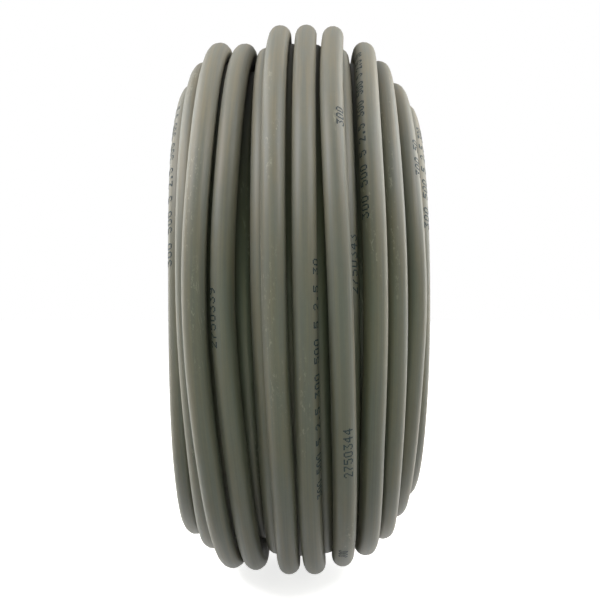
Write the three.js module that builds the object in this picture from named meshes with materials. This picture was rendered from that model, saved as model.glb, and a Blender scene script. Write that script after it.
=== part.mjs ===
import * as THREE from 'three';

// Cable and winding sizes, in millimetres
const cableDiameter = 11.7;
const turnGap = 0.2;
const boreRadius = 72;

// The winding's layers from the bore out to the rim. Each gives where its first and last turns lie along the
// coil's axis, counted in turn pitches from the middle plane.
const layers = [
  { first: -5, last: 5 },
  { first: -4.7, last: 4.8 },
  { first: -5.08, last: 5.08 },
  { first: -4.9, last: 5 },
  { first: -4.88, last: 4.8 },
  { first: -4.52, last: 3.93 },
  { first: -4.03, last: 2.98 },
  { first: -0.98, last: 1.54 },
];

// Turns between the first and the last that show on the rim, with the layer each lies in, counted from the rim
const turnsLeftOfRidge = [
  { depth: 1, place: -2.98 },
  { depth: 2, place: -2.16 },
  { depth: 1, place: -1.42 },
];
const turnsOnRidge = [{ depth: 0, place: 0.18 }];
const turnsRightOfRidge = [{ depth: 1, place: 1.97 }];

// How many flats the coil's round and each turn's own round are cut into
const coilFlats = 36;
const turnFlats = 8;

// Jacket of the cable
const jacketColour = 0x8c8b80;
const jacketRoughness = 0.42;

// Sizes that follow from the ones above. A layer nests in the hollows of the one below it.
const cableRadius = cableDiameter / 2;
const turnPitch = cableDiameter + turnGap;
const layerStep = turnPitch * Math.sin(Math.PI / 3);
const flatAngle = (2 * Math.PI) / turnFlats;
const cornerRadius = cableRadius / Math.cos(flatAngle / 2);
const outsideRadius = boreRadius + cableDiameter + (layers.length - 1) * layerStep;

// A turn's centre in the section: x is its radius from the coil's axis and y its place along the axis.
function turnCentre(layer, place) {
  const radius = boreRadius + cableRadius + layer * layerStep;
  return new THREE.Vector2(radius, place * turnPitch);
}

function rimTurn({ depth, place }) {
  return turnCentre(layers.length - 1 - depth, place);
}

// The turns that bound the section, in order: the first turns outwards, the rim, the last turns inwards, the bore.
function boundaryTurns() {
  const firstTurns = layers.map((layer, index) => turnCentre(index, layer.first));
  const lastTurns = layers.map((layer, index) => turnCentre(index, layer.last));
  const ridgeStart = firstTurns.pop();
  const ridgeEnd = lastTurns.pop();
  const boreTurns = [];
  for (let place = layers[0].last - 1; place > layers[0].first; place -= 1) {
    boreTurns.push(turnCentre(0, place));
  }
  return [
    ...firstTurns,
    ...turnsLeftOfRidge.map(rimTurn),
    ridgeStart,
    ...turnsOnRidge.map(rimTurn),
    ridgeEnd,
    ...turnsRightOfRidge.map(rimTurn),
    ...lastTurns.reverse(),
    ...boreTurns,
  ];
}

function angleTo(from, to) {
  return Math.atan2(to.y - from.y, to.x - from.x);
}

// The corners of one turn's many-sided round that face outwards, between the turns before and after it. A corner
// nearer to a neighbour than half a flat is left out, so the groove between two turns has a narrow floor.
function exposedCorners(before, turn, after) {
  const fullTurn = 2 * Math.PI;
  const start = angleTo(turn, before);
  const sweep = THREE.MathUtils.euclideanModulo(angleTo(turn, after) - start, fullTurn);
  const margin = flatAngle / 2 - THREE.MathUtils.degToRad(0.1);
  const corners = [];
  for (let index = 0; index < turnFlats; index += 1) {
    const angle = (index + 0.5) * flatAngle;
    const along = THREE.MathUtils.euclideanModulo(angle - start, fullTurn);
    if (along > margin && along < sweep - margin) {
      const x = turn.x + cornerRadius * Math.cos(angle);
      const y = turn.y + cornerRadius * Math.sin(angle);
      corners.push({ along, point: new THREE.Vector2(x, y) });
    }
  }
  corners.sort((one, other) => one.along - other.along);
  return corners.map((corner) => corner.point);
}

// The closed outline of the winding's section, scalloped by its turns
function windingProfile() {
  const turns = boundaryTurns();
  const points = turns.flatMap((turn, index) => {
    const before = turns[(index + turns.length - 1) % turns.length];
    const after = turns[(index + 1) % turns.length];
    return exposedCorners(before, turn, after);
  });
  points.push(points[0].clone());
  return points;
}

// The coil stands on its rim with its axis along X, and a flat of its round faces down.
function makeCoil() {
  const halfFlat = Math.PI / coilFlats;
  const geometry = new THREE.LatheGeometry(windingProfile(), coilFlats, halfFlat, 2 * Math.PI);
  const jacket = new THREE.MeshStandardMaterial({
    color: jacketColour,
    roughness: jacketRoughness,
    metalness: 0,
  });
  const coil = new THREE.Mesh(geometry, jacket);
  coil.name = 'cable_coil';
  coil.rotation.z = -Math.PI / 2;
  coil.position.z = outsideRadius * Math.cos(halfFlat);
  return coil;
}

const group = new THREE.Group();
group.add(makeCoil());

export default group;
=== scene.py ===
"""Power cable coil: one grey PVC cable of about 50 m, wound in eight layers and standing on its rim."""

import functools
import math

import bmesh
import bpy
import numpy as np
from bpy.props import FloatProperty, FloatVectorProperty, IntProperty, PointerProperty
from mathutils import Matrix, Vector


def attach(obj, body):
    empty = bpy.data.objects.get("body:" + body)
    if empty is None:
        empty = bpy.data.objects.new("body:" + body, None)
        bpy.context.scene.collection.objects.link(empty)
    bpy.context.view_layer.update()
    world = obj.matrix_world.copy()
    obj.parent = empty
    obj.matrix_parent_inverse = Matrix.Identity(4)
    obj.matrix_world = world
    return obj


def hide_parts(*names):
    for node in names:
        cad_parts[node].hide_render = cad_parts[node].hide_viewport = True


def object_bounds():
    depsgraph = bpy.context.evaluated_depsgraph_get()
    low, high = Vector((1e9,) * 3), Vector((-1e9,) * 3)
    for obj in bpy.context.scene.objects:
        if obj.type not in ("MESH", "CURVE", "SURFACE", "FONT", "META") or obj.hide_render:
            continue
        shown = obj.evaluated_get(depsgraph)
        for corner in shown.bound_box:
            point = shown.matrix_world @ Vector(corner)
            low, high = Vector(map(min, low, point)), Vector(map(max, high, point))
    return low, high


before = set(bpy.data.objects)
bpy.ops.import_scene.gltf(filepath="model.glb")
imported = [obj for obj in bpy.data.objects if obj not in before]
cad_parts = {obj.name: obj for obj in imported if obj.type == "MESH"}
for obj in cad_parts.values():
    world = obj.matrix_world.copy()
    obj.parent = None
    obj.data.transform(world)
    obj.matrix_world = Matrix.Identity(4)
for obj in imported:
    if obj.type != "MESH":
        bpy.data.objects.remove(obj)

CAD_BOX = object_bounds()

bl_info = {
    "name": "Power cable coil",
    "version": (1, 0, 0),
    "blender": (4, 5, 0),
    "location": "3D View > Sidebar > Cable coil",
    "description": "Winds a power cable into a coil, prints its metre marks, cuts its ends and lights it",
    "category": "Object",
}

COIL_NODE = "cable_coil"

# The coil's axis runs along X at this height, half of the CAD box.
AXIS_HEIGHT = 0.5 * (CAD_BOX[0][2] + CAD_BOX[1][2])

# Stations around one turn. The first lies at the back, at -180 degrees. The front is 0 and the top is
# 90 degrees.
STATIONS = 72
STATION_ANGLES = np.radians(-180.0 + 360.0 * np.arange(STATIONS) / STATIONS)

# Angles, in degrees, at which a turn's place is given: underneath, low front, front, high front and on top
KEY_ANGLES = (-90.0, -40.0, 0.0, 40.0, 88.0)
# A turn leaves its own place behind the top and reaches the next turn's place before the bottom.
CROSSING_STARTS = 112.0
CROSSING_ENDS = 242.0

# The layers from the bore outwards. Places along the axis and radii are counted in cable diameters.
# "places" holds a turn's place at each key angle, or one number for all of them. "lifts" holds how far some
# turns stand out from their layer at each key angle. Layers are wound to the left and to the right in turn.
LAYERS = (
    {"radius": 6.58, "places": tuple(-4.5 + index for index in range(10))},
    {"radius": 7.43, "places": tuple(-5.0 + index for index in range(11))},
    {"radius": 8.27, "places": tuple(-4.5 + index for index in range(10))},
    {"radius": 9.11, "places": (-4.92, -3.92, -2.95, -1.97, -0.98, 0.02, 1.0, 2.0, 2.98, 3.97, 4.95)},
    {
        "radius": 10.10,
        "places": (
            (-5.0, -4.97, -4.91, -5.06, -4.98),
            -3.95,
            (-2.88, -2.88, -2.9, -3.05, -3.08),
            (-1.83, -1.8, -1.7, -1.38, -1.33),
            -0.4, 0.62, 1.65, 2.68, 3.7,
            (4.45, 4.38, 4.73, 4.45, 4.25),
        ),
        "lifts": {0: (0.9, 0.3, 0.0, 0.0, -0.1), 7: -0.05},
    },
    {
        "radius": 11.03,
        "places": (
            (-4.15, -4.2, -4.52, -4.6, -4.5),
            (-3.1, -3.2, -3.5, -3.5, -3.4),
            (-1.7, -1.95, -2.27, -2.3, -2.3),
            (-0.5, -0.6, -0.85, -0.9, -0.85),
            (0.52, 0.42, 0.17, 0.12, 0.17),
            (1.55, 1.45, 1.2, 1.15, 1.2),
            (3.0, 2.7, 2.5, 2.4, 2.45),
            (3.95, 3.82, 3.85, 3.7, 3.75),
        ),
        "lifts": {
            0: (0.62, 0.2, 0.0, 0.0, 0.05),
            2: (0.0, 0.0, -0.05, -0.4, -0.45),
            5: (-0.25, -0.05, 0.0, 0.0, 0.0),
            6: (-0.2, 0.0, 0.0, 0.0, 0.0),
            7: (0.1, 0.07, 0.07, 0.07, 0.07),
        },
    },
    {
        "radius": 11.93,
        "places": (
            (-3.1, -3.67, -4.21, -4.0, -3.78),
            (-2.03, -2.51, -3.08, -2.87, -2.58),
            (-1.0, -1.15, -1.46, -1.53, -1.5),
            (0.05, -0.1, -0.4, -0.45, -0.4),
            (1.35, 1.0, 0.72, 0.65, 0.68),
            (2.3, 2.05, 1.85, 1.72, 1.78),
            (3.12, 2.95, 3.0, 2.87, 3.05),
        ),
        "lifts": {
            0: (0.65, 0.2, 0.0, 0.0, 0.05),
            1: (0.75, 0.2, 0.0, 0.0, 0.0),
            2: (-0.12, -0.1, -0.1, -0.1, -0.2),
            4: (-0.33, -0.1, 0.0, 0.0, 0.0),
            5: (-0.63, -0.3, -0.12, -0.15, -0.3),
            6: (-0.05, 0.0, 0.0, 0.0, 0.08),
        },
    },
    {
        "radius": 12.78,
        "places": (
            (-0.47, -0.66, -1.01, -1.09, -0.9),
            (0.79, 0.4, 0.19, 0.16, 0.33),
            (2.05, 1.86, 1.57, 1.3, 1.6),
        ),
        "lifts": {2: (-0.55, -0.1, 0.0, 0.0, -0.05)},
    },
)

# How the cable's two ends lie: the stations left off the first turn, and those that the last turn goes on for
INNER_END_SKIPS = 5
OUTER_END_RUNS_ON = 9
OUTER_END_PLACE = -2.3
OUTER_END_LIFT = -0.35

# Settling of the winding: the sweeps, and the last ones among them, which only push turns apart
SETTLE_SWEEPS = 160
LAST_SWEEPS = 12
# Shares of a sweep: how far it draws a turn to its place, how far where the turn shows, how far it smooths
# the cable along its length, and how much of an overlap it moves each of the two turns
PLACE_PULL = 0.06
VISIBLE_PULL = 0.22
BEND_SMOOTHING = 0.25
PUSH_SHARE = 0.42
# Turns are pushed apart to this spacing, in cable diameters, so most of them press into each other a little.
LEAST_SPACING = 0.985
# Stand-ins, in cable diameters, for a turn's distance from itself and for a distance too small to divide by
OWN_DISTANCE = 2.0
LEAST_DISTANCE = 0.05
# How far round from the front, in degrees, a turn that shows is held to its place
SHOWN_TO = 105.0
# How far the first layer may sink into the bore, in cable diameters
BORE_SLACK = 0.25
# The share of its slope that a turn's line keeps at the first key angle
FIRST_KEY_SLOPE = 0.6
# How many stations on each side the cable's direction at a place is worked out from, and how many at an end
NEAR_STATIONS = 3
END_STATIONS = 4

# Depth of one dot of ink, and the share of it by which the dot's middle lies below the jacket's surface
INK_DEPTH = 0.00016
INK_SUNK = 0.3

# How brightly the room in front and the white backdrop light the coil
ROOM_LIGHT = 0.01
BACKDROP_LIGHT = 0.45
# How steeply the backdrop brightens towards the back, and its share of light straight to the sides
BACKDROP_SLOPE = 1.4
BACKDROP_AT_SIDES = 0.1
# How brightly the floor glows with painted light beside the coil, where no lamp reaches it. The weaker glow
# there paints the floor darker round the coil. Further off it glows as white as the backdrop.
FLOOR_GLOW = 0.78
# The distances in metres between which the floor's painted glow rises to full white, and half the floor's
# width
GLOW_STARTS = 0.2
GLOW_ENDS = 1.0
FLOOR_REACH = 8.0

# The camera's sensor in millimetres, and the nearest distance that it shows in metres
SENSOR_WIDTH = 36.0
NEAREST_SHOWN = 0.01

# Soft boxes: name, place in metres, width and height, power in watts, colour
SOFTBOXES = (
    ("top_softbox", (0.0, -0.1, 1.3), (1.2, 0.9), 1.5, (1.0, 0.97, 1.0)),
    ("left_softbox", (-0.95, -0.3, 1.1), (0.7, 0.7), 16.5, (1.0, 0.97, 1.0)),
    ("right_softbox", (0.95, -0.3, 1.1), (0.7, 0.7), 13.0, (1.0, 0.97, 1.0)),
    ("front_left_softbox", (-0.9, -1.2, 0.9), (0.7, 0.7), 1.7, (1.0, 0.96, 0.98)),
    ("front_right_softbox", (0.9, -1.2, 0.9), (0.7, 0.7), 1.5, (1.0, 0.96, 0.98)),
    ("low_softbox", (0.0, -1.1, 0.06), (1.6, 0.3), 2.5, (0.74, 1.0, 0.68)),
    ("left_rim_softbox", (-1.0, 0.6, 0.6), (0.8, 1.2), 11.0, (1.0, 1.0, 0.97)),
    ("right_rim_softbox", (1.0, 0.6, 0.6), (0.8, 1.2), 14.0, (1.0, 1.0, 0.97)),
)

# The number on the cable's first metre. The marks count on from it.
FIRST_METRE = 2750300
# The plain numbers printed in a row between the metre marks
ROW_NUMBERS = "300 500 5 2.5 "

# Print: layer and turn, the angle round the coil that it is centred on, how far it is rolled to the right of
# the turn's outermost line, both in degrees, and the number of characters of the row. A metre mark has none.
PRINTS = (
    (7, 2, -27.5, 18.0, None),
    (7, 2, -59.0, -6.0, 3),
    (7, 2, 35.5, 40.0, 4),
    (7, 1, -15.5, 63.0, 30),
    (6, 6, 40.0, -48.0, 30),
    (6, 5, 7.0, 39.0, None),
    (6, 1, -3.0, -56.0, None),
    (4, 0, 32.0, -62.0, 25),
    (4, 9, 36.0, 58.0, 6),
    (3, 10, 38.0, 55.0, 18),
    (7, 1, 168.0, 10.0, None),
    (7, 0, -150.0, -20.0, 28),
    (6, 6, -160.0, 30.0, None),
    (6, 0, 150.0, -35.0, None),
    (5, 0, -140.0, -40.0, 28),
    (5, 7, 160.0, 35.0, 28),
    (4, 0, -165.0, -60.0, None),
    (4, 9, -120.0, 60.0, None),
    (3, 10, 140.0, 70.0, None),
    (1, 0, 60.0, -75.0, None),
    (1, 10, -60.0, 75.0, None),
)

# Rows and columns of dots in a figure, the columns left blank after it, and the sides of one dot
DOT_ROWS = 7
DOT_COLUMNS = 5
BLANK_COLUMNS = 2
DOT_SIDES = 6

# The printer's dots for each figure, from its top row to its foot
DOTS = {
    "0": (".###.", "#...#", "#...#", "#...#", "#...#", "#...#", ".###."),
    "1": ("..#..", ".##..", "..#..", "..#..", "..#..", "..#..", ".###."),
    "2": (".###.", "#...#", "....#", "...#.", "..#..", ".#...", "#####"),
    "3": ("#####", "...#.", "..#..", "...#.", "....#", "#...#", ".###."),
    "4": ("...#.", "..##.", ".#.#.", "#..#.", "#####", "...#.", "...#."),
    "5": ("#####", "#....", "####.", "....#", "....#", "#...#", ".###."),
    "6": ("..##.", ".#...", "#....", "####.", "#...#", "#...#", ".###."),
    "7": ("#####", "....#", "...#.", "..#..", ".#...", ".#...", ".#..."),
    "8": (".###.", "#...#", "#...#", ".###.", "#...#", "#...#", ".###."),
    "9": (".###.", "#...#", "#...#", ".####", "....#", "...#.", ".##.."),
    ".": (".....", ".....", ".....", ".....", ".....", ".##..", ".##.."),
    " ": (".....",) * DOT_ROWS,
}

# Insulation of the five cores, linear colours. The last is half green and half yellow.
CORE_COLOURS = (
    ((0.125, 0.045, 0.018), (0.125, 0.045, 0.018)),
    ((0.012, 0.012, 0.013), (0.012, 0.012, 0.013)),
    ((0.23, 0.235, 0.24), (0.23, 0.235, 0.24)),
    ((0.02, 0.11, 0.42), (0.02, 0.11, 0.42)),
    ((0.03, 0.24, 0.045), (0.62, 0.5, 0.02)),
)

# The cores at a cut end, in metres: how long each is, and how far its insulation and its copper stand out
CORE_DEPTH = 0.002
INSULATION_PROUD = 0.0005
COPPER_PROUD = 0.0012
# How far the ring of cores is turned, in radians, and the sides of one core
CORE_RING_TURN = 0.3
CORE_SIDES = 24
# The bevel of a core's rim as a share of its width, its segments, and the share of the core's depth above
# which an edge is the rim
RIM_BEVEL = 0.05
RIM_SEGMENTS = 2
RIM_LEVEL = 0.4
# The attribute that holds a core's colour
CORE_COLOUR_LAYER = "core_colour"

# Factors for red, green and blue: the jacket's warmer and cooler hues, and ink that has worn
WARM = (1.07, 1.0, 0.94)
COOL = (0.96, 0.99, 1.06)
WORN = (2.2, 2.1, 1.9)


# Shader nodes

class Socket:
    """An output socket in a node tree that arithmetic can be done on, which adds Math nodes."""

    def __init__(self, tree, socket):
        self.tree = tree
        self.socket = socket

    def math(self, operation, *others, clamp=False):
        node = self.tree.nodes.new("ShaderNodeMath")
        node.operation = operation
        node.use_clamp = clamp
        for place, value in enumerate((self, *others)):
            fill_socket(self.tree, node.inputs[place], value)
        return Socket(self.tree, node.outputs[0])

    def __add__(self, other):
        return self.math("ADD", other)

    def __radd__(self, other):
        return self.math("ADD", other)

    def __rsub__(self, other):
        return Socket.of(self.tree, other).math("SUBTRACT", self)

    def __mul__(self, other):
        return self.math("MULTIPLY", other)

    def __rmul__(self, other):
        return self.math("MULTIPLY", other)

    def clamped(self):
        return self.math("ADD", 0.0, clamp=True)

    @staticmethod
    def of(tree, value):
        node = tree.nodes.new("ShaderNodeValue")
        node.outputs[0].default_value = value
        return Socket(tree, node.outputs[0])


def fill_socket(tree, target, value):
    if isinstance(value, Socket):
        tree.links.new(value.socket, target)
    else:
        target.default_value = value


class MaterialMaker:
    """A new material with a Principled shader, and one way to add any other node to it."""

    def __init__(self, name, **constants):
        self.material = bpy.data.materials.new(name)
        self.material.use_nodes = True
        self.tree = self.material.node_tree
        self.shader = next(node for node in self.tree.nodes if node.type == "BSDF_PRINCIPLED")
        for socket, value in constants.items():
            self.shader.inputs[socket.replace("_", " ")].default_value = value

    def node(self, kind, settings=None, inputs=None, output=0):
        node = self.tree.nodes.new(kind)
        for name, value in (settings or {}).items():
            if name == "stops":
                self.set_stops(node.color_ramp, value)
            else:
                setattr(node, name, value)
        for name, value in (inputs or {}).items():
            fill_socket(self.tree, node.inputs[name], value)
        return Socket(self.tree, node.outputs[output])

    @staticmethod
    def set_stops(ramp, stops):
        while len(ramp.elements) > 1:
            ramp.elements.remove(ramp.elements[-1])
        for index, (position, level) in enumerate(stops):
            stop = ramp.elements[0] if index == 0 else ramp.elements.new(position)
            stop.position = position
            stop.color = (level, level, level, 1.0)

    def stretched(self, coordinates, scale, place=(0.0, 0.0, 0.0)):
        return self.node(
            "ShaderNodeMapping",
            {"vector_type": "POINT"},
            {"Vector": coordinates, "Scale": scale, "Location": place},
        )

    def noise(self, coordinates, scale, detail=3.0, roughness=0.5):
        return self.node(
            "ShaderNodeTexNoise",
            {"noise_dimensions": "3D"},
            {"Vector": coordinates, "Scale": scale, "Detail": detail, "Roughness": roughness},
        )

    def grain(self, coordinates, stretch, detail, roughness=0.5, place=(0.0, 0.0, 0.0)):
        """Noise with a scale of its own along each axis."""
        return self.noise(self.stretched(coordinates, stretch, place), 1.0, detail, roughness)

    def ramp(self, value, *stops):
        return self.node("ShaderNodeValToRGB", {"stops": stops}, {"Fac": value})

    def mix(self, factor, first, second):
        node = self.tree.nodes.new("ShaderNodeMix")
        node.data_type = "RGBA"
        sockets = [socket for socket in node.inputs if socket.type == "RGBA"]
        fill_socket(self.tree, node.inputs[0], factor)
        fill_socket(self.tree, sockets[0], first)
        fill_socket(self.tree, sockets[1], second)
        output = next(socket for socket in node.outputs if socket.type == "RGBA")
        return Socket(self.tree, output)

    def drive(self, name, value):
        fill_socket(self.tree, self.shader.inputs[name], value)

    def bump(self, height, distance):
        sockets = {"Height": height, "Distance": distance, "Strength": 1.0}
        self.drive("Normal", self.node("ShaderNodeBump", {}, sockets))


def tint(colour, factors):
    """A colour with red, green and blue each multiplied by a factor of its own."""
    return (colour[0] * factors[0], colour[1] * factors[1], colour[2] * factors[2], 1.0)


def shade(colour, factor):
    return tint(colour, (factor, factor, factor))


# The winding

def key_values(entry):
    """A turn's value at each key angle, from one number or from the list for all of them."""
    return np.array(entry if isinstance(entry, tuple) else (entry,) * len(KEY_ANGLES), dtype=float)


def wound_leftwards(layer):
    return layer % 2 == 1


def turn_table():
    """Each turn in winding order: its places and radii at the key angles, and whether it shows in front."""
    rows = []
    for number, layer in enumerate(LAYERS):
        turns = []
        for index, entry in enumerate(layer["places"]):
            lift = key_values(layer.get("lifts", {}).get(index, 0.0))
            turns.append((key_values(entry), layer["radius"] + lift, isinstance(entry, tuple)))
        if wound_leftwards(number):
            turns.reverse()
        rows.extend(turns)
    places = np.array([row[0] for row in rows])
    radii = np.array([row[1] for row in rows])
    shows = np.array([row[2] for row in rows])
    return places, radii, shows


def smoothstep(value):
    value = np.clip(value, 0.0, 1.0)
    return value * value * (3.0 - 2.0 * value)


def catmull_rom(keys, values, at):
    """Values along a smooth line through the keys. Beyond the first and last key it goes on level."""
    keys = np.asarray(keys, dtype=float)
    slopes = np.gradient(values, keys, axis=-1)
    slopes[..., 0] *= FIRST_KEY_SLOPE
    slopes[..., -1] = 0.0
    at = np.clip(at, keys[0], keys[-1])
    index = np.clip(np.searchsorted(keys, at, side="right") - 1, 0, len(keys) - 2)
    width = keys[index + 1] - keys[index]
    part = (at - keys[index]) / width
    first, second = values[..., index], values[..., index + 1]
    first_slope, second_slope = slopes[..., index] * width, slopes[..., index + 1] * width
    cubed, squared = part**3, part**2
    return (
        first * (2 * cubed - 3 * squared + 1)
        + first_slope * (cubed - 2 * squared + part)
        + second * (3 * squared - 2 * cubed)
        + second_slope * (cubed - squared)
    )


def across_the_back(own):
    """Blends each turn into the next one behind the coil. own has a row for each turn and a column for each
    station."""
    degrees = np.degrees(STATION_ANGLES)
    blended = own.copy()
    span = CROSSING_ENDS - CROSSING_STARTS
    leaving = degrees > CROSSING_STARTS
    share = smoothstep((degrees[leaving] - CROSSING_STARTS) / span)
    blended[:-1, leaving] = own[:-1, leaving] * (1 - share) + own[1:, [0]] * share
    arriving = degrees + 360.0 < CROSSING_ENDS
    share = smoothstep((degrees[arriving] + 360.0 - CROSSING_STARTS) / span)
    blended[1:, arriving] = own[:-1, [-1]] * (1 - share) + own[1:, arriving] * share
    return blended


def settle(home_places, home_radii, pull, cable, least_radius):
    """Pushes turns that overlap apart at each station, and draws them back to where they belong. cable is 1
    where there is cable, and 0 at the stations before its inner end and past its outer end."""
    places, radii = home_places.copy(), home_radii.copy()
    turns = places.shape[0]
    both = cable[:, None, :] * cable[None, :, :]
    for sweep in range(SETTLE_SWEEPS):
        across = places[:, None, :] - places[None, :, :]
        outward = radii[:, None, :] - radii[None, :, :]
        distance = np.sqrt(across**2 + outward**2)
        distance[np.arange(turns), np.arange(turns)] = OWN_DISTANCE
        overlap = both * np.clip(LEAST_SPACING - distance, 0.0, None) / np.maximum(distance, LEAST_DISTANCE)
        places = places + PUSH_SHARE * (across * overlap).sum(axis=1)
        radii = radii + PUSH_SHARE * (outward * overlap).sum(axis=1)
        if sweep < SETTLE_SWEEPS - LAST_SWEEPS:
            places = places + pull * (home_places - places)
            radii = radii + pull * (home_radii - radii)
            places = smooth_along(places)
            radii = smooth_along(radii)
        radii = np.maximum(radii, least_radius)
    return places, radii


def smooth_along(values):
    """Evens out a value along the whole cable, from turn to turn."""
    line = values.reshape(-1)
    middle = line[1:-1] + BEND_SMOOTHING * (0.5 * (line[:-2] + line[2:]) - line[1:-1])
    return np.concatenate((line[:1], middle, line[-1:])).reshape(values.shape)


@functools.lru_cache
def wind_cable(diameter):
    """The cable's centre line, in metres, from its inner end in the bore to its outer end at the back."""
    key_places, key_radii, shows = turn_table()
    degrees = np.degrees(STATION_ANGLES)
    home_places = catmull_rom(KEY_ANGLES, key_places, degrees)
    home_radii = catmull_rom(KEY_ANGLES, key_radii, degrees)
    tail_place = np.full((1, STATIONS), OUTER_END_PLACE)
    tail_radius = np.full((1, STATIONS), LAYERS[-1]["radius"] + OUTER_END_LIFT)
    home_places = across_the_back(np.vstack((home_places, tail_place)))
    home_radii = across_the_back(np.vstack((home_radii, tail_radius)))
    pull = np.full(home_places.shape, PLACE_PULL)
    front = np.abs(degrees) < SHOWN_TO
    visible = np.append(shows, False)
    pull[np.ix_(visible, front)] = VISIBLE_PULL
    cable = np.ones(home_places.shape)
    cable[0, :INNER_END_SKIPS] = 0.0
    cable[-1, OUTER_END_RUNS_ON:] = 0.0
    places, radii = settle(home_places, home_radii, pull, cable, LAYERS[0]["radius"] - BORE_SLACK)
    first = INNER_END_SKIPS
    last = (len(places) - 1) * STATIONS + OUTER_END_RUNS_ON
    place = places.reshape(-1)[first:last] * diameter
    radius = radii.reshape(-1)[first:last] * diameter
    angle = np.tile(STATION_ANGLES, len(places))[first:last]
    height = radius * np.sin(angle)
    height += 0.5 * diameter - height.min()
    return np.column_stack((place, -radius * np.cos(angle), height))


def station_of(layer, turn, degrees):
    """The point of the centre line where a turn of a layer passes an angle round the coil."""
    before = sum(len(other["places"]) for other in LAYERS[:layer])
    inside = len(LAYERS[layer]["places"]) - 1 - turn if wound_leftwards(layer) else turn
    return (before + inside) * STATIONS + (degrees + 180.0) / 360.0 * STATIONS - INNER_END_SKIPS


def cable_frames(points):
    """The unit tangent, outward and sideways directions at each point of the centre line."""
    tangents = np.gradient(points, axis=0)
    tangents /= np.linalg.norm(tangents, axis=1, keepdims=True)
    outward = points * (0.0, 1.0, 1.0) - (0.0, 0.0, AXIS_HEIGHT)
    outward -= (outward * tangents).sum(axis=1, keepdims=True) * tangents
    outward /= np.linalg.norm(outward, axis=1, keepdims=True)
    sideways = np.cross(outward, tangents)
    return tangents, outward, sideways


def lengths_along(points):
    steps = np.linalg.norm(np.diff(points, axis=0), axis=1)
    return np.concatenate(((0.0,), np.cumsum(steps)))


def round_tube(points, radius, sides, name):
    """A closed round tube along the points, as a mesh."""
    curve = bpy.data.curves.new(name + "_line", "CURVE")
    curve.dimensions = "3D"
    curve.twist_mode = "MINIMUM"
    curve.bevel_depth = radius
    # A round bevel has four sides, and two more for each step of its resolution.
    curve.bevel_resolution = (sides - 4) // 2
    curve.use_fill_caps = True
    spline = curve.splines.new("POLY")
    spline.points.add(len(points) - 1)
    spline.points.foreach_set("co", np.column_stack((points, np.ones(len(points)))).ravel())
    holder = bpy.data.objects.new(name + "_line", curve)
    bpy.context.collection.objects.link(holder)
    bpy.context.view_layer.update()
    mesh = bpy.data.meshes.new_from_object(holder.evaluated_get(bpy.context.evaluated_depsgraph_get()))
    bpy.data.objects.remove(holder)
    bpy.data.curves.remove(curve)
    mesh.name = name
    return mesh


def add_piece(name, mesh, material, smooth=True):
    piece = bpy.data.objects.new(name, mesh)
    bpy.context.collection.objects.link(piece)
    mesh.materials.append(material)
    mesh.polygons.foreach_set("use_smooth", np.full(len(mesh.polygons), smooth))
    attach(piece, "root")
    return piece


def write_cable_space(mesh, points):
    """Stores each vertex's place on the cable pulled straight: X along it, Y outward and Z sideways."""
    count = len(mesh.vertices)
    places = np.empty(count * 3)
    mesh.vertices.foreach_get("co", places)
    places = places.reshape(-1, 3)
    ring = np.minimum(np.arange(count) * len(points) // count, len(points) - 1)
    _, outward, sideways = cable_frames(points)
    offset = places - points[ring]
    space = np.column_stack((
        lengths_along(points)[ring],
        (offset * outward[ring]).sum(axis=1),
        (offset * sideways[ring]).sum(axis=1),
    ))
    attribute = mesh.attributes.new("cable_space", "FLOAT_VECTOR", "POINT")
    attribute.data.foreach_set("vector", space.ravel())


def jacket_material(colour):
    """Grey extruded PVC with faint lines drawn along it, slow changes of shade and hue, dust and scuffs."""
    maker = MaterialMaker("grey_pvc_jacket", Specular_IOR_Level=0.36)
    space = maker.node("ShaderNodeAttribute", {"attribute_name": "cable_space"}, output="Vector")
    draw_lines = maker.grain(space, (14.0, 420.0, 420.0), detail=3.0)
    fine_lines = maker.grain(space, (9.0, 1500.0, 1500.0), detail=2.0)
    slow_shade = maker.grain(space, (7.0, 60.0, 60.0), detail=2.0, place=(3.0, 0.0, 0.0))
    patches = maker.grain(space, (38.0, 150.0, 150.0), detail=4.0, roughness=0.6, place=(9.0, 1.0, 0.0))
    dust = maker.grain(space, (300.0, 500.0, 500.0), detail=5.0, roughness=0.65)
    scuff_shape = maker.grain(space, (260.0, 620.0, 620.0), detail=4.0, roughness=0.7)
    scuff_place = maker.grain(space, (16.0, 90.0, 90.0), detail=1.0, place=(0.0, 5.0, 0.0))
    scuff_marks = maker.ramp(scuff_shape, (0.56, 0.0), (0.66, 1.0))
    scuff_areas = maker.ramp(scuff_place, (0.62, 0.0), (0.68, 1.0))
    scuffs = scuff_marks * scuff_areas
    hue = maker.ramp(0.55 * draw_lines + 0.45 * patches, (0.40, 0.0), (0.60, 1.0))
    tinted = maker.mix(hue, tint(colour, COOL), tint(colour, WARM))
    tone = 0.35 * slow_shade + 0.25 * fine_lines + 0.25 * draw_lines + 0.15 * dust
    depth = maker.ramp(tone, (0.40, 0.0), (0.60, 1.0))
    shaded = maker.node(
        "ShaderNodeHueSaturation",
        {},
        {"Hue": 0.5, "Saturation": 1.0, "Value": 0.89 + 0.22 * depth, "Fac": 1.0, "Color": tinted},
    )
    marked = maker.mix(scuffs * 0.55, shaded, shade(colour, 2.1))
    maker.drive("Base Color", marked)
    maker.drive("Roughness", 0.43 + 0.14 * dust + 0.1 * scuffs)
    maker.bump(draw_lines * 0.6 + fine_lines * 0.2 + dust * 0.2, 0.00015)
    return maker.material


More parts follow.
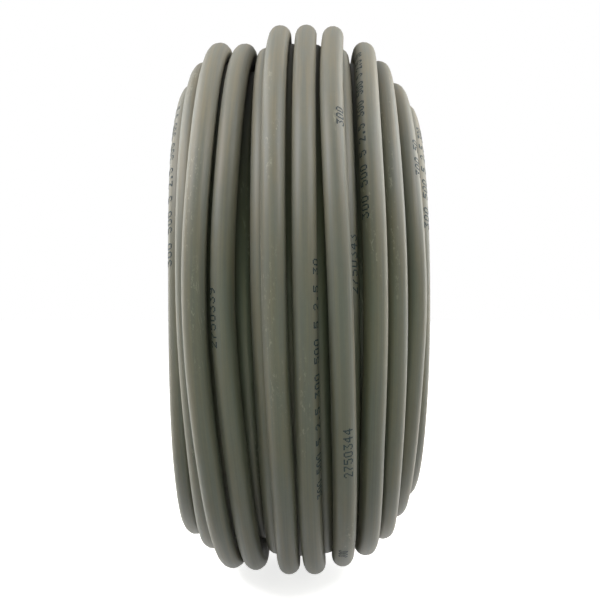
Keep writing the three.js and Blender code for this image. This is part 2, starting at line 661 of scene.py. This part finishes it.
def ink_material(colour):
    """Ink of the jacket's printer, a little uneven and worn."""
    maker = MaterialMaker("printed_ink", Specular_IOR_Level=0.3)
    position = maker.node("ShaderNodeTexCoord", output="Object")
    wear = maker.ramp(maker.noise(position, 900.0, 3.0), (0.35, 0.0), (0.75, 1.0))
    maker.drive("Base Color", maker.mix(wear, shade(colour, 1.0), tint(colour, WORN)))
    maker.drive("Roughness", 0.5 + 0.2 * wear)
    return maker.material


def insulation_material():
    """PVC of the cores, in the colour stored on each, with saw marks on the cut."""
    maker = MaterialMaker("core_insulation", Specular_IOR_Level=0.4)
    colour = maker.node("ShaderNodeAttribute", {"attribute_name": CORE_COLOUR_LAYER}, output="Color")
    position = maker.node("ShaderNodeTexCoord", output="Object")
    marks = maker.grain(position, (2500.0, 600.0, 600.0), detail=3.0)
    value = maker.node(
        "ShaderNodeHueSaturation",
        {},
        {"Hue": 0.5, "Saturation": 1.0, "Value": 0.85 + 0.3 * marks, "Fac": 1.0, "Color": colour},
    )
    maker.drive("Base Color", value)
    maker.drive("Roughness", 0.45 + 0.15 * marks)
    maker.bump(marks, 0.00005)
    return maker.material


def copper_material():
    """Cut copper strands, each a small bright round, with painted shade in the gaps between them."""
    maker = MaterialMaker("copper_strands", Metallic=1.0)
    position = maker.node("ShaderNodeTexCoord", output="Object")
    strands = maker.node(
        "ShaderNodeTexVoronoi",
        {"voronoi_dimensions": "3D", "feature": "F1"},
        {"Vector": position, "Scale": 2600.0},
        output="Distance",
    )
    shaded_gaps = maker.ramp(strands, (0.35, 0.0), (0.6, 1.0))
    # The gaps between the strands are painted dark: painted shade for the hollows between them.
    maker.drive("Base Color", maker.mix(shaded_gaps, (0.86, 0.42, 0.24, 1.0), (0.25, 0.1, 0.05, 1.0)))
    maker.drive("Roughness", 0.3 + 0.3 * shaded_gaps)
    maker.bump(1.0 - shaded_gaps, 0.0001)
    return maker.material


def frame_at(points, along, length):
    """The centre, tangent, outward and sideways directions at a length along the cable."""
    place = np.searchsorted(along, length)
    low = max(place - NEAR_STATIONS, 0)
    high = place + NEAR_STATIONS + 1
    near = points[low:high]
    near_along = along[low:high]
    tangents, outward, sideways = cable_frames(near)
    rows = [[np.interp(length, near_along, column) for column in part.T]
            for part in (near, tangents, outward, sideways)]
    return [Vector(rows[0])] + [Vector(row).normalized() for row in rows[1:]]


def print_text(ink, points, station, roll, text, sizes):
    """Adds a line of printed figures to the ink, centred on a station and rolled round the cable."""
    radius = 0.5 * sizes.cable_diameter
    step_up = sizes.figure_height / (DOT_ROWS - 1)
    step_along = sizes.figure_pitch / (DOT_COLUMNS + BLANK_COLUMNS)
    middle_row = DOT_ROWS // 2
    along = lengths_along(points)
    middle = np.interp(station, np.arange(len(points)), along)
    start = middle - 0.5 * sizes.figure_pitch * len(text)
    for index, figure in enumerate(text):
        for column in range(DOT_COLUMNS):
            marks = [row for row, dots in enumerate(DOTS[figure]) if dots[column] == "#"]
            if not marks:
                continue
            length = start + index * sizes.figure_pitch + column * step_along
            centre, tangent, outward, sideways = frame_at(points, along, length)
            for row in marks:
                angle = -math.radians(roll) + (middle_row - row) * step_up / radius
                normal = math.cos(angle) * outward + math.sin(angle) * sideways
                across = normal.cross(tangent)
                place = Matrix((tangent, across, normal)).transposed().to_4x4()
                place.translation = centre + normal * (radius - INK_SUNK * INK_DEPTH)
                bmesh.ops.create_cone(
                    ink,
                    cap_ends=True,
                    cap_tris=False,
                    segments=DOT_SIDES,
                    radius1=sizes.dot_diameter / 2,
                    radius2=sizes.dot_diameter / 2,
                    depth=INK_DEPTH,
                    matrix=place,
                )


def add_core_round(cores, place, up, tangent, width, halves, material_index):
    """Adds one bevelled round of a core. It is made in a mesh of its own, because a bevel in a shared mesh
    orders its faces and spreads its colours differently from run to run."""
    core = bmesh.new()
    colours = core.verts.layers.float_color.new(CORE_COLOUR_LAYER)
    bmesh.ops.create_cone(
        core,
        cap_ends=True,
        cap_tris=False,
        segments=CORE_SIDES,
        radius1=width / 2,
        radius2=width / 2,
        depth=CORE_DEPTH,
        matrix=place,
    )
    centre = place.translation
    for face in core.faces:
        face.material_index = material_index
    for vertex in core.verts:
        half = halves[0] if (vertex.co - centre).dot(up) > 0.0 else halves[1]
        vertex[colours] = (*half, 1.0)
    rim_height = RIM_LEVEL * CORE_DEPTH
    rim = [
        edge for edge in core.edges
        if all((corner.co - centre).dot(tangent) > rim_height for corner in edge.verts)
    ]
    bmesh.ops.bevel(
        core,
        geom=rim,
        affect="EDGES",
        offset=RIM_BEVEL * width,
        segments=RIM_SEGMENTS,
        profile=0.5,
        material=-1,
    )
    mesh = bpy.data.meshes.new("core_round")
    core.to_mesh(mesh)
    core.free()
    cores.from_mesh(mesh)
    bpy.data.meshes.remove(mesh)


def cut_end(cores, points, at_end, sizes):
    """Adds the five cores at one end of the cable, a little proud of the cut."""
    ordered = points if at_end else points[::-1]
    _, outward, _ = cable_frames(ordered[-END_STATIONS:])
    tangent = Vector(ordered[-1] - ordered[-2]).normalized()
    up = Vector(outward[-1])
    side = tangent.cross(up).normalized()
    up = side.cross(tangent)
    ring = 0.5 * sizes.core_diameter / math.sin(math.pi / len(CORE_COLOURS))
    # Insulation and copper, in the order of the piece's two materials
    rounds = ((sizes.core_diameter, INSULATION_PROUD), (sizes.copper_diameter, COPPER_PROUD))
    for index, halves in enumerate(CORE_COLOURS):
        angle = 2 * math.pi * index / len(CORE_COLOURS) + CORE_RING_TURN
        offset = ring * (math.cos(angle) * up + math.sin(angle) * side)
        for material_index, (width, proud) in enumerate(rounds):
            place = Matrix((up, side, tangent)).transposed().to_4x4()
            place.translation = Vector(ordered[-1]) + offset + tangent * (proud - 0.5 * CORE_DEPTH)
            add_core_round(cores, place, up, tangent, width, halves, material_index)


class CoilSizes(bpy.types.PropertyGroup):
    cable_diameter: FloatProperty(
        name="Cable diameter",
        description="Outside diameter of the jacket",
        default=0.0117,
        unit="LENGTH",
    )
    cable_length: FloatProperty(
        name="Cable length",
        description="Length of the whole cable, as it is sold",
        default=50.0,
        unit="LENGTH",
    )
    figure_height: FloatProperty(
        name="Figure height",
        description="Height of the printed figures, from the top dot to the lowest",
        default=0.0041,
        unit="LENGTH",
    )
    figure_pitch: FloatProperty(
        name="Figure pitch",
        description="Length along the cable that one printed figure takes with the space after it",
        default=0.0040,
        unit="LENGTH",
    )
    dot_diameter: FloatProperty(
        name="Dot diameter",
        description="Width of one dot of ink",
        default=0.00082,
        unit="LENGTH",
    )
    core_diameter: FloatProperty(
        name="Core diameter",
        description="Width of one core over its insulation",
        default=0.0034,
        unit="LENGTH",
    )
    copper_diameter: FloatProperty(
        name="Copper diameter",
        description="Width of one core's copper strands together",
        default=0.0020,
        unit="LENGTH",
    )
    cable_sides: IntProperty(
        name="Sides",
        description="How many sides the cable's round has",
        default=18,
        min=8,
    )


class CoilColours(bpy.types.PropertyGroup):
    jacket: FloatVectorProperty(
        name="Jacket",
        description="Colour of the PVC jacket",
        default=(0.192, 0.190, 0.146),
        subtype="COLOR",
    )
    ink: FloatVectorProperty(
        name="Ink",
        description="Colour of the printed metre marks",
        default=(0.020, 0.032, 0.038),
        subtype="COLOR",
    )
    floor: FloatVectorProperty(
        name="Floor",
        description="Colour of the studio floor",
        default=(0.82, 0.82, 0.80),
        subtype="COLOR",
    )


class CoilStudio(bpy.types.PropertyGroup):
    camera_distance: FloatProperty(
        name="Camera distance",
        description="From the lens to the coil's axis, level with it",
        default=0.6909,
        unit="LENGTH",
    )
    camera_lens: FloatProperty(
        name="Lens",
        description="Focal length on a sensor 36 mm wide",
        default=71.46,
        unit="CAMERA",
    )


class COIL_OT_cable(bpy.types.Operator):
    """Wind the cable from the bore outwards and give it its jacket"""

    bl_idname = "coil.cable"
    bl_label = "Wind cable"

    def execute(self, context):
        sizes = context.scene.coil_sizes
        points = wind_cable(sizes.cable_diameter)
        mesh = round_tube(points, 0.5 * sizes.cable_diameter, sizes.cable_sides, "cable")
        write_cable_space(mesh, points)
        cable = add_piece("cable", mesh, jacket_material(context.scene.coil_colours.jacket))
        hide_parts(COIL_NODE)
        return {"FINISHED"}


class COIL_OT_print(bpy.types.Operator):
    """Print the metre marks and the rows of numbers on the jacket"""

    bl_idname = "coil.print"
    bl_label = "Print numbers"

    def execute(self, context):
        sizes = context.scene.coil_sizes
        points = wind_cable(sizes.cable_diameter)
        ink = bmesh.new()
        mesh = bpy.data.meshes.new("cable_print")
        for layer, turn, degrees, roll, characters in PRINTS:
            station = station_of(layer, turn, degrees)
            if characters is None:
                metre = FIRST_METRE + int(lengths_along(points)[round(station)])
                text = str(metre)
            else:
                repeats = characters // len(ROW_NUMBERS) + 1
                text = (ROW_NUMBERS * repeats)[:characters]
            line = bmesh.new()
            print_text(line, points, station, roll, text, sizes)
            line.to_mesh(mesh)
            line.free()
            ink.from_mesh(mesh)
        ink.to_mesh(mesh)
        ink.free()
        add_piece("cable_print", mesh, ink_material(context.scene.coil_colours.ink), smooth=False)
        return {"FINISHED"}


class COIL_OT_cut_ends(bpy.types.Operator):
    """Show the five cores on the cable's two cut ends"""

    bl_idname = "coil.cut_ends"
    bl_label = "Cut ends"

    def execute(self, context):
        sizes = context.scene.coil_sizes
        points = wind_cable(sizes.cable_diameter)
        cores = bmesh.new()
        cores.verts.layers.float_color.new(CORE_COLOUR_LAYER)
        cut_end(cores, points, True, sizes)
        cut_end(cores, points, False, sizes)
        bmesh.ops.recalc_face_normals(cores, faces=cores.faces)
        mesh = bpy.data.meshes.new("cable_cores")
        cores.to_mesh(mesh)
        cores.free()
        piece = add_piece("cable_cores", mesh, insulation_material(), smooth=False)
        piece.data.materials.append(copper_material())
        return {"FINISHED"}


class COIL_OT_studio(bpy.types.Operator):
    """Set up the floor, the soft lights and the camera at the photograph's viewing angle"""

    bl_idname = "coil.studio"
    bl_label = "Set up studio"

    def execute(self, context):
        studio = context.scene.coil_studio
        lay_floor(context.scene.coil_colours.floor)
        light_studio()
        place_camera(studio.camera_distance, studio.camera_lens)
        return {"FINISHED"}


def lay_floor(colour):
    mesh = bpy.data.meshes.new("studio_floor")
    sheet = bmesh.new()
    bmesh.ops.create_grid(sheet, x_segments=1, y_segments=1, size=FLOOR_REACH)
    sheet.to_mesh(mesh)
    sheet.free()
    floor = bpy.data.objects.new("studio_floor", mesh)
    bpy.context.collection.objects.link(floor)
    floor.visible_diffuse = False
    maker = MaterialMaker("studio_floor", Roughness=0.8, Specular_IOR_Level=0.0)
    position = maker.node("ShaderNodeTexCoord", output="Object")
    cloud = maker.noise(position, 1.5, 2.0)
    maker.drive("Base Color", maker.mix(cloud, shade(colour, 0.98), shade(colour, 1.02)))
    # The floor glows with painted light. The glow is weaker near the coil, which paints the floor darker
    # round it.
    distance = maker.node("ShaderNodeVectorMath", {"operation": "LENGTH"}, {0: position}, output="Value")
    maker.drive("Emission Color", maker.ramp(distance, (GLOW_STARTS, FLOOR_GLOW), (GLOW_ENDS, 1.0)))
    maker.shader.inputs["Emission Strength"].default_value = 1.0
    mesh.materials.append(maker.material)


def light_studio():
    """A white backdrop that is brightest behind the coil, and soft boxes above it and at its sides."""
    world = bpy.data.worlds.new("studio")
    world.use_nodes = True
    tree = world.node_tree
    background = tree.nodes["Background"]
    background.inputs["Color"].default_value = (1.0, 1.0, 1.0, 1.0)
    direction = tree.nodes.new("ShaderNodeTexCoord").outputs["Generated"]
    parts = tree.nodes.new("ShaderNodeSeparateXYZ")
    tree.links.new(direction, parts.inputs[0])
    behind = (Socket(tree, parts.outputs["Y"]) * BACKDROP_SLOPE + BACKDROP_AT_SIDES).clamped()
    seen = Socket(tree, tree.nodes.new("ShaderNodeLightPath").outputs["Is Camera Ray"])
    lit = behind * (BACKDROP_LIGHT - ROOM_LIGHT) + ROOM_LIGHT
    fill_socket(tree, background.inputs["Strength"], seen + (1.0 - seen) * lit)
    bpy.context.scene.world = world
    bpy.context.scene.view_settings.view_transform = "Standard"
    for name, place, size, power, colour in SOFTBOXES:
        add_softbox(name, place, size, power, colour)


def add_softbox(name, place, size, power, colour):
    light = bpy.data.lights.new(name, "AREA")
    light.shape = "RECTANGLE"
    light.size, light.size_y = size
    light.energy = power
    light.color = colour
    lamp = bpy.data.objects.new(name, light)
    bpy.context.collection.objects.link(lamp)
    lamp.visible_camera = False
    lamp.location = place
    direction = Vector((0.0, 0.0, AXIS_HEIGHT)) - Vector(place)
    lamp.rotation_euler = direction.to_track_quat("-Z", "Y").to_euler()


def place_camera(distance, lens):
    camera = bpy.data.cameras.new("camera")
    camera.lens = lens
    camera.sensor_width = SENSOR_WIDTH
    camera.clip_start = NEAREST_SHOWN
    holder = bpy.data.objects.new("camera", camera)
    bpy.context.collection.objects.link(holder)
    holder.location = (0.0, -distance, AXIS_HEIGHT)
    holder.rotation_euler = (math.pi / 2, 0.0, 0.0)
    bpy.context.scene.camera = holder


class VIEW3D_PT_cable_coil(bpy.types.Panel):
    """The coil's sizes, colours and steps"""

    bl_label = "Cable coil"
    bl_space_type = "VIEW_3D"
    bl_region_type = "UI"
    bl_category = "Cable coil"

    def draw(self, context):
        layout = self.layout
        scene = context.scene
        for group in (scene.coil_sizes, scene.coil_colours, scene.coil_studio):
            for name in group.bl_rna.properties.keys():
                if name not in ("rna_type", "name"):
                    layout.prop(group, name)
        for operator in (COIL_OT_studio, COIL_OT_print, COIL_OT_cut_ends, COIL_OT_cable):
            layout.operator(operator.bl_idname)


CLASSES = (
    CoilSizes,
    CoilColours,
    CoilStudio,
    COIL_OT_studio,
    COIL_OT_print,
    COIL_OT_cut_ends,
    COIL_OT_cable,
    VIEW3D_PT_cable_coil,
)


def register():
    for item in CLASSES:
        bpy.utils.register_class(item)
    bpy.types.Scene.coil_sizes = PointerProperty(type=CoilSizes)
    bpy.types.Scene.coil_colours = PointerProperty(type=CoilColours)
    bpy.types.Scene.coil_studio = PointerProperty(type=CoilStudio)


def unregister():
    del bpy.types.Scene.coil_studio
    del bpy.types.Scene.coil_colours
    del bpy.types.Scene.coil_sizes
    for item in reversed(CLASSES):
        bpy.utils.unregister_class(item)


def main():
    register()
    bpy.ops.coil.studio()
    bpy.ops.coil.print()
    bpy.ops.coil.cut_ends()
    bpy.ops.coil.cable()


if __name__ == "__main__":
    main()
